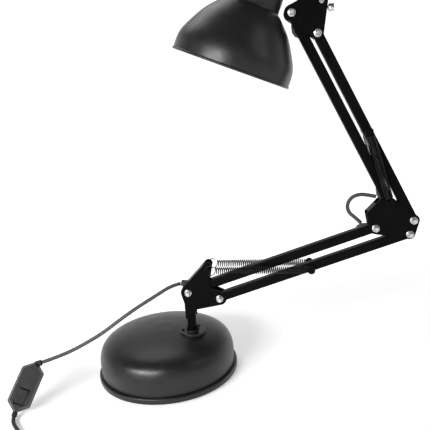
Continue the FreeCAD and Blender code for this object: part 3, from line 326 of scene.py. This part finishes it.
camera_data = bpy.data.cameras.new("camera")
camera_data.sensor_width = 36.0
camera_data.lens = 45.67
camera = bpy.data.objects.new("camera", camera_data)
scene.collection.objects.link(camera)
right = Vector((0.9926, 0.0916, -0.0801)).normalized()
ahead = Vector((-0.1077, 0.9678, -0.2275)).normalized()
up = right.cross(ahead).normalized()
right = ahead.cross(up).normalized()
place = Matrix((right, up, -ahead)).transposed().to_4x4()
place.translation = Vector((0.16317, -0.7078, 0.39008))
camera.matrix_world = place
scene.camera = camera


# ---------------------------------------------------------------- cords

LEAD = [(0.0314, -0.0152, 0.1344), (0.0190, -0.0197, 0.1334), (-0.0030, -0.0276, 0.1222),
        (-0.0270, -0.0362, 0.1106), (-0.0500, -0.0446, 0.0976), (-0.0730, -0.0529, 0.0832),
        (-0.1020, -0.0632, 0.0698), (-0.1300, -0.0722, 0.0606), (-0.1524, -0.0786, 0.0562)]
TAIL = [(-0.1796, -0.1199, 0.0046), (-0.1790, -0.1244, 0.0030), (-0.1746, -0.1330, 0.00245),
        (-0.1660, -0.1430, 0.00245), (-0.1565, -0.1530, 0.00245), (-0.1490, -0.1650, 0.00245),
        (-0.1452, -0.1780, 0.00245), (-0.1444, -0.1910, 0.00245), (-0.1426, -0.2035, 0.00245)]
COIL_CENTRE = Vector((-0.1123, -0.1991, 0))
PLUG_STEPS = [(0.0120, -0.0312, 0.0074), (0.0255, -0.0335, 0.0038), (0.0390, -0.0380, 0.0048),
              (0.0520, -0.0410, 0.0070), (0.0650, -0.0410, 0.0070)]
ELBOW_LOOP = [(0.2732, 0.2058), (0.2666, 0.2130), (0.2588, 0.2194), (0.2559, 0.2294), (0.2610, 0.2394),
              (0.2714, 0.2434), (0.2824, 0.2419), (0.2925, 0.2391)]
HEAD_LOOP = [(0.2320, 0.5000), (0.2415, 0.5045), (0.2470, 0.5170), (0.2460, 0.5350), (0.2385, 0.5530),
             (0.2235, 0.5670), (0.2050, 0.5715), (0.1905, 0.5660), (0.1842, 0.5559)]

# The coil's nine turns, as (strand from the outside, layer), each next to the one before.
TURNS = [(0, 0), (1, 0), (2, 0), (2, 1), (2, 2), (1, 2), (1, 1), (0, 1), (0, 2)]
STRAND_PITCH = 0.00480
LAYER_PITCH = 0.00470
OUTER_TURN_RADIUS = 0.0310
FIRST_LAYER_HEIGHT = 0.00245
POINTS_PER_TURN = 16
CHANGE_STARTS = 0.78


def coil_turns():
    """Control points of the coil, anticlockwise from where the tail meets it, ready to leave along +X."""
    start = atan2(TAIL[-1][1] - COIL_CENTRE.y, TAIL[-1][0] - COIL_CENTRE.x) % (2 * pi)
    leave = 1.5 * pi
    points = []
    total = (len(TURNS) - 1) * 2 * pi + (leave - start)
    steps = int(total / (2 * pi) * POINTS_PER_TURN)
    for step in range(1, steps):
        angle = total * step / steps
        turn = angle / (2 * pi)
        index = min(int(turn), len(TURNS) - 1)
        fraction = turn - index
        strand, layer = TURNS[index]
        after = TURNS[min(index + 1, len(TURNS) - 1)]
        blend = max(0.0, (fraction - CHANGE_STARTS) / (1 - CHANGE_STARTS))
        blend = blend * blend * (3 - 2 * blend)
        strand += (after[0] - strand) * blend
        layer += (after[1] - layer) * blend
        wobble = 0.00012 * sin(3.1 * angle + 0.7)
        radius = OUTER_TURN_RADIUS - STRAND_PITCH * strand + wobble
        height = FIRST_LAYER_HEIGHT + LAYER_PITCH * layer
        points.append((COIL_CENTRE.x + radius * cos(start + angle),
                       COIL_CENTRE.y + radius * sin(start + angle), height))
    return points


# Which way a cord's broad face points along its run.

def face_forward(index, point, tangent):
    return Vector((0.15, -0.75, 0.62))


def flat_on_table(index, point, tangent):
    return Vector((0, 0, 1))


def sideways(index, point, tangent):
    return Vector((0, 1, 0))


def in_arm_plane(route):
    return [(x, ARM_Y, z) for x, z in route]


def cord_mesh(name, line, up_vector):
    vertices, faces = sweep(line, twin_section(), up_vector)
    return new_piece(name, vertices, faces, SHEATH)


lead_line = spline_points("lead_route", LEAD, 12)
lead = cord_mesh("mains_lead_upper", lead_line, face_forward)
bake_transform(lead)
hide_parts("lead_cord")

plug_lead = [(COIL_CENTRE.x + x, COIL_CENTRE.y + y, z) for x, y, z in PLUG_STEPS]
tail_line = spline_points("tail_route", TAIL + coil_turns() + plug_lead, 6)
tail = cord_mesh("mains_lead_lower", tail_line, flat_on_table)
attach(tail, "base")
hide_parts("tail_cord", "cord_coil", "plug_cord")


def tie_band():
    """A moulded strap round the coil's section, on the side away from both ends."""
    low, high = 0.0002, 0.0151
    inner, outer = 0.0178, 0.0343
    middle_x, middle_z = (inner + outer) / 2, (low + high) / 2
    corner = 0.004
    half_width = 0.0022
    thickness = 0.0007
    loop = []
    for cx, cz, first in ((outer - corner, high - corner, 0), (inner + corner, high - corner, 90),
                          (inner + corner, low + corner, 180), (outer - corner, low + corner, 270)):
        for step in range(6):
            turn = radians(first + 18 * step)
            loop.append((cx + corner * cos(turn), cz + corner * sin(turn)))
    vertices = []
    rows = ((half_width, thickness), (half_width, 0.0), (-half_width, 0.0), (-half_width, thickness))
    for shift, sink in rows:
        for x, z in loop:
            inward = Vector((middle_x - x, middle_z - z)).normalized() * sink
            vertices.append(COIL_CENTRE + Vector((shift, -(x + inward.x), z + inward.y)))
    return vertices, skin(len(rows), len(loop), closed=True)


band_vertices, band_faces = tie_band()
band = new_piece("coil_tie", band_vertices, band_faces, TIE)
band.matrix_world = (Matrix.Translation(COIL_CENTRE) @ Matrix.Rotation(radians(110), 4, "Z")
                     @ Matrix.Translation(-COIL_CENTRE))
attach(band, "base")


def loose_cord(name, line, replaced):
    """A short loop of cord that joins two bodies of the arm."""
    piece = cord_mesh(name, line, sideways)
    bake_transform(piece)
    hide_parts(replaced)


elbow_line = spline_points("elbow_route", in_arm_plane(ELBOW_LOOP), 12)
half = len(elbow_line) // 2
loose_cord("elbow_loop_lower", elbow_line[:half + 1], "elbow_cord_lower")
loose_cord("elbow_loop_upper", elbow_line[half:], "elbow_cord_upper")
head_line = spline_points("head_route", in_arm_plane(HEAD_LOOP), 12)
loose_cord("head_loop", head_line, "head_cord")


# ---------------------------------------------------------------- springs

WIRE = 0.00062
COIL_RADIUS = 0.00435
SPRING_SIDE = 0.0155
RING_SETBACK = 0.0031
HOOK_OVERLAP = 0.0026
RING_SWEEP = 300
RING_STEPS = 25
TURN_STEPS = 14


def spring_path(span, pitch, first_ring, last_ring=0.0046):
    """Wire of one tension spring along local X from its first pin: a ring hook, the coils, a ring hook."""
    first_hook = 2 * first_ring - HOOK_OVERLAP
    last_hook = 2 * last_ring - HOOK_OVERLAP
    length = span - first_hook - last_hook
    turns = round(length / pitch)
    path = []
    for step in range(RING_STEPS + 1):
        turn = radians(RING_SWEEP * (step / RING_STEPS - 1))
        path.append(Vector((first_ring * (1 + cos(turn)) - RING_SETBACK, 0, first_ring * sin(turn))))
    for step in range(turns * TURN_STEPS + 1):
        turn = 2 * pi * step / TURN_STEPS
        path.append(Vector((first_hook + length * step / (turns * TURN_STEPS), COIL_RADIUS * sin(turn),
                            COIL_RADIUS * cos(turn))))
    for step in range(RING_STEPS + 1):
        turn = radians(RING_SWEEP * step / RING_STEPS)
        path.append(Vector((span + RING_SETBACK - last_ring * (1 + cos(turn)), 0, last_ring * sin(turn))))
    return path


def spring_pair(name, start, end, replaced, finish, pitch, first_ring):
    """The two springs of one arm, side by side, on the pins that start and end mark."""
    run = (end - start).normalized()
    wire = spring_path((end - start).length, pitch, first_ring)
    side_axis = Vector((0, 1, 0))
    top = run.cross(side_axis)
    vertices = []
    faces = []
    for side in (-SPRING_SIDE, SPRING_SIDE):
        path = [start + run * p.x + side_axis * (p.y + side) + top * p.z for p in wire]
        tube, tube_faces = sweep(path, ring_section(WIRE, 7), lambda index, point, tangent: run
                                 if abs(tangent.dot(run)) < 0.9 else side_axis)
        faces += [tuple(corner + len(vertices) for corner in face) for face in tube_faces]
        vertices += tube
    piece = new_piece(name, vertices, faces, finish)
    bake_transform(piece)
    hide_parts(replaced)


spring_pair("lower_tension_springs", HORN_STUD, LOWER_PIN, "lower_springs",
            SPRING, 0.0026, 0.0066)
spring_pair("upper_tension_springs", ELBOW_TOP, UPPER_PIN, "upper_springs",
            BLACK_SPRING, 0.0017, 0.0046)


# ---------------------------------------------------------------- lock nuts and washers

def lathe(centre, rows, count):
    """A closed solid turned about Y through the centre; rows are (y, radius or a function of the angle)."""
    vertices = []
    for y, radius in rows:
        for k in range(count):
            turn = 2 * pi * k / count
            reach = radius(turn) if callable(radius) else radius
            vertices.append(centre + Vector((reach * cos(turn), y, reach * sin(turn))))
    return vertices, skin(len(rows), count, closed=True)


def hexagonal(turn, flats=0.008):
    """Reach of a hexagon's side at an angle."""
    return flats / 2 / cos((turn + pi / 6) % (pi / 3) - pi / 6)


def chamfered(turn):
    """The same with its corners turned off."""
    return min(hexagonal(turn), 0.00422)


# Each row is (y on the near side of the arm plane, radius).
NUT_ROWS = [(-0.00900, chamfered), (-0.00922, hexagonal), (-0.01195, hexagonal), (-0.01228, chamfered),
            (-0.01236, 0.0038), (-0.01241, 0.0036), (-0.01320, 0.00355), (-0.01350, 0.00335),
            (-0.01355, 0.00320), (-0.01348, 0.00308), (-0.01342, 0.00262), (-0.00900, 0.00262)]
COLLAR_ROWS = [(-0.01345, 0.00305), (-0.01368, 0.00290), (-0.01368, 0.00268), (-0.01345, 0.00260)]
BORE = 0.00260
CHEEK = 0.008
WASHER = 0.001


def washer_rows(low, high):
    edge = 0.00012
    return [(low, BORE), (low, 0.0045), (low + edge, 0.0047), (high - edge, 0.0047), (high, 0.0045),
            (high, BORE)]


def lock_nuts(name, points, body, replaced):
    """Chamfered hexagon nuts with a nylon locking ring, and a washer under nut and head."""
    vertices = []
    faces = []
    dark = []
    for point in points:
        for rows, is_dark in ((NUT_ROWS, False), (COLLAR_ROWS, True),
                              (washer_rows(-CHEEK - WASHER, -CHEEK), False),
                              (washer_rows(CHEEK, CHEEK + WASHER), False)):
            part, part_faces = lathe(point, rows, 48)
            faces += [tuple(corner + len(vertices) for corner in face) for face in part_faces]
            dark += [is_dark] * len(part_faces)
            vertices += part
    piece = new_piece(name, vertices, faces, ZINC)
    piece.data.materials.append(NYLON)
    piece.data.polygons.foreach_set("material_index", [int(value) for value in dark])
    piece.data.polygons.foreach_set("use_smooth", [False] * len(faces))
    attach(piece, body)
    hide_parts(replaced)


lock_nuts("lower_lock_nuts", [LOWER_BACK, LOWER_FRONT], "post", "lower_pivot_nuts_and_washers")
lock_nuts("elbow_lock_nuts", [ELBOW_BACK, ELBOW_BACK + LOWER_LINK, ELBOW_FRONT], "elbow",
          "elbow_pivot_nuts_and_washers")
lock_nuts("head_lock_nuts", [HEAD_BACK, HEAD_LOW], "head_plate", "head_pivot_nuts_and_washers")


# ---------------------------------------------------------------- shade lining

INSET = 1.35
DROP = 0.4


def lining():
    """The shade's painted inside, just off the metal.  The bell and the two offsets are in millimetres."""
    bell = [(74.6, 1.0), (73.9, 10.0), (72.9, 20.0), (69.4, 28.5), (64.4, 37.6), (58.9, 46.4), (53.0, 55.2),
            (47.6, 61.2), (42.2, 66.8), (38.0, 70.4), (35.4, 73.0), (33.4, 76.0), (33.0, 80.0), (33.0, 140.0)]
    count = 96
    vertices = []
    for radius, height in bell:
        for k in range(count):
            turn = 2 * pi * k / count
            reach = (radius - INSET) / 1000
            vertices.append(SHADE @ Vector((reach * cos(turn), reach * sin(turn), (height - DROP) / 1000)))
    faces = [face[::-1] for face in skin(len(bell), count, closed=False)]
    return new_piece("shade_lining", vertices, faces, ENAMEL)


inside = lining()
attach(inside, "lamp_head")


# ---------------------------------------------------------------- studio

def stage_floor():
    """Pale paper, lit a little from within, and more so towards the far side."""
    mesh = bpy.data.meshes.new("studio_floor")
    reach = 6.0
    mesh.from_pydata([(-reach, -reach, 0), (reach, -reach, 0), (reach, reach, 0), (-reach, reach, 0)], [],
                     [(0, 1, 2, 3)])
    floor = bpy.data.objects.new("studio_floor", mesh)
    scene.collection.objects.link(floor)
    material, tree, shader = new_material("studio_paper")
    shader.inputs["Base Color"].default_value = (0.93, 0.93, 0.935, 1)
    shader.inputs["Roughness"].default_value = 0.9
    shader.inputs["Specular IOR Level"].default_value = 0.1
    shader.inputs["Emission Color"].default_value = (1.0, 1.0, 1.0, 1)
    coords = tree.nodes.new("ShaderNodeTexCoord")
    split = tree.nodes.new("ShaderNodeSeparateXYZ")
    tree.links.new(coords.outputs["Object"], split.inputs["Vector"])
    glow = ramp(tree, split.outputs["Y"], 0.36, 0.85, 0.10, 0.90)
    tree.links.new(glow, shader.inputs["Emission Strength"])
    mesh.materials.append(material)


def area_light(name, location, target, size, power, tall=None):
    """A soft rectangular light that faces its target, as wide as size and square if tall isn't given."""
    data = bpy.data.lights.new(name, "AREA")
    data.shape = "RECTANGLE"
    data.size = size
    data.size_y = tall or size
    data.energy = power
    light = bpy.data.objects.new(name, data)
    light.location = location
    direction = Vector(target) - Vector(location)
    light.rotation_euler = direction.to_track_quat("-Z", "Y").to_euler()
    scene.collection.objects.link(light)


stage_floor()
area_light("key_softbox", (-0.68, -1.25, 0.66), (0.05, 0, 0.2), 0.95, 30.0, 0.22)
area_light("side_softbox", (1.4, -0.5, 1.1), (0.15, 0, 0.25), 0.4, 2.0, 0.9)
area_light("top_softbox", (-0.4, 0.7, 1.6), (0.1, 0, 0.1), 0.9, 6.0)


def studio_world():
    """White backdrop on the far side, falling off overhead and towards the near side of the room."""
    world = bpy.data.worlds.new("studio_world")
    world.use_nodes = True
    tree = world.node_tree
    coords = tree.nodes.new("ShaderNodeTexCoord")
    split = tree.nodes.new("ShaderNodeSeparateXYZ")
    tree.links.new(coords.outputs["Generated"], split.inputs["Vector"])
    factors = []
    for axis, start, stop, low, high in (("Y", 0.0, 0.45, 0.30, 1.12), ("Z", 0.15, 0.60, 1.0, 0.22)):
        fade = tree.nodes.new("ShaderNodeMapRange")
        fade.interpolation_type = "SMOOTHSTEP"
        fade.inputs["From Min"].default_value = start
        fade.inputs["From Max"].default_value = stop
        fade.inputs["To Min"].default_value = low
        fade.inputs["To Max"].default_value = high
        tree.links.new(split.outputs[axis], fade.inputs["Value"])
        factors.append(fade.outputs["Result"])
    product = tree.nodes.new("ShaderNodeMath")
    product.operation = "MULTIPLY"
    tree.links.new(factors[0], product.inputs[0])
    tree.links.new(factors[1], product.inputs[1])
    background = tree.nodes["Background"]
    background.inputs["Color"].default_value = (1.0, 1.0, 1.0, 1)
    tree.links.new(product.outputs["Value"], background.inputs["Strength"])
    scene.world = world


studio_world()
scene.view_settings.view_transform = "Standard"
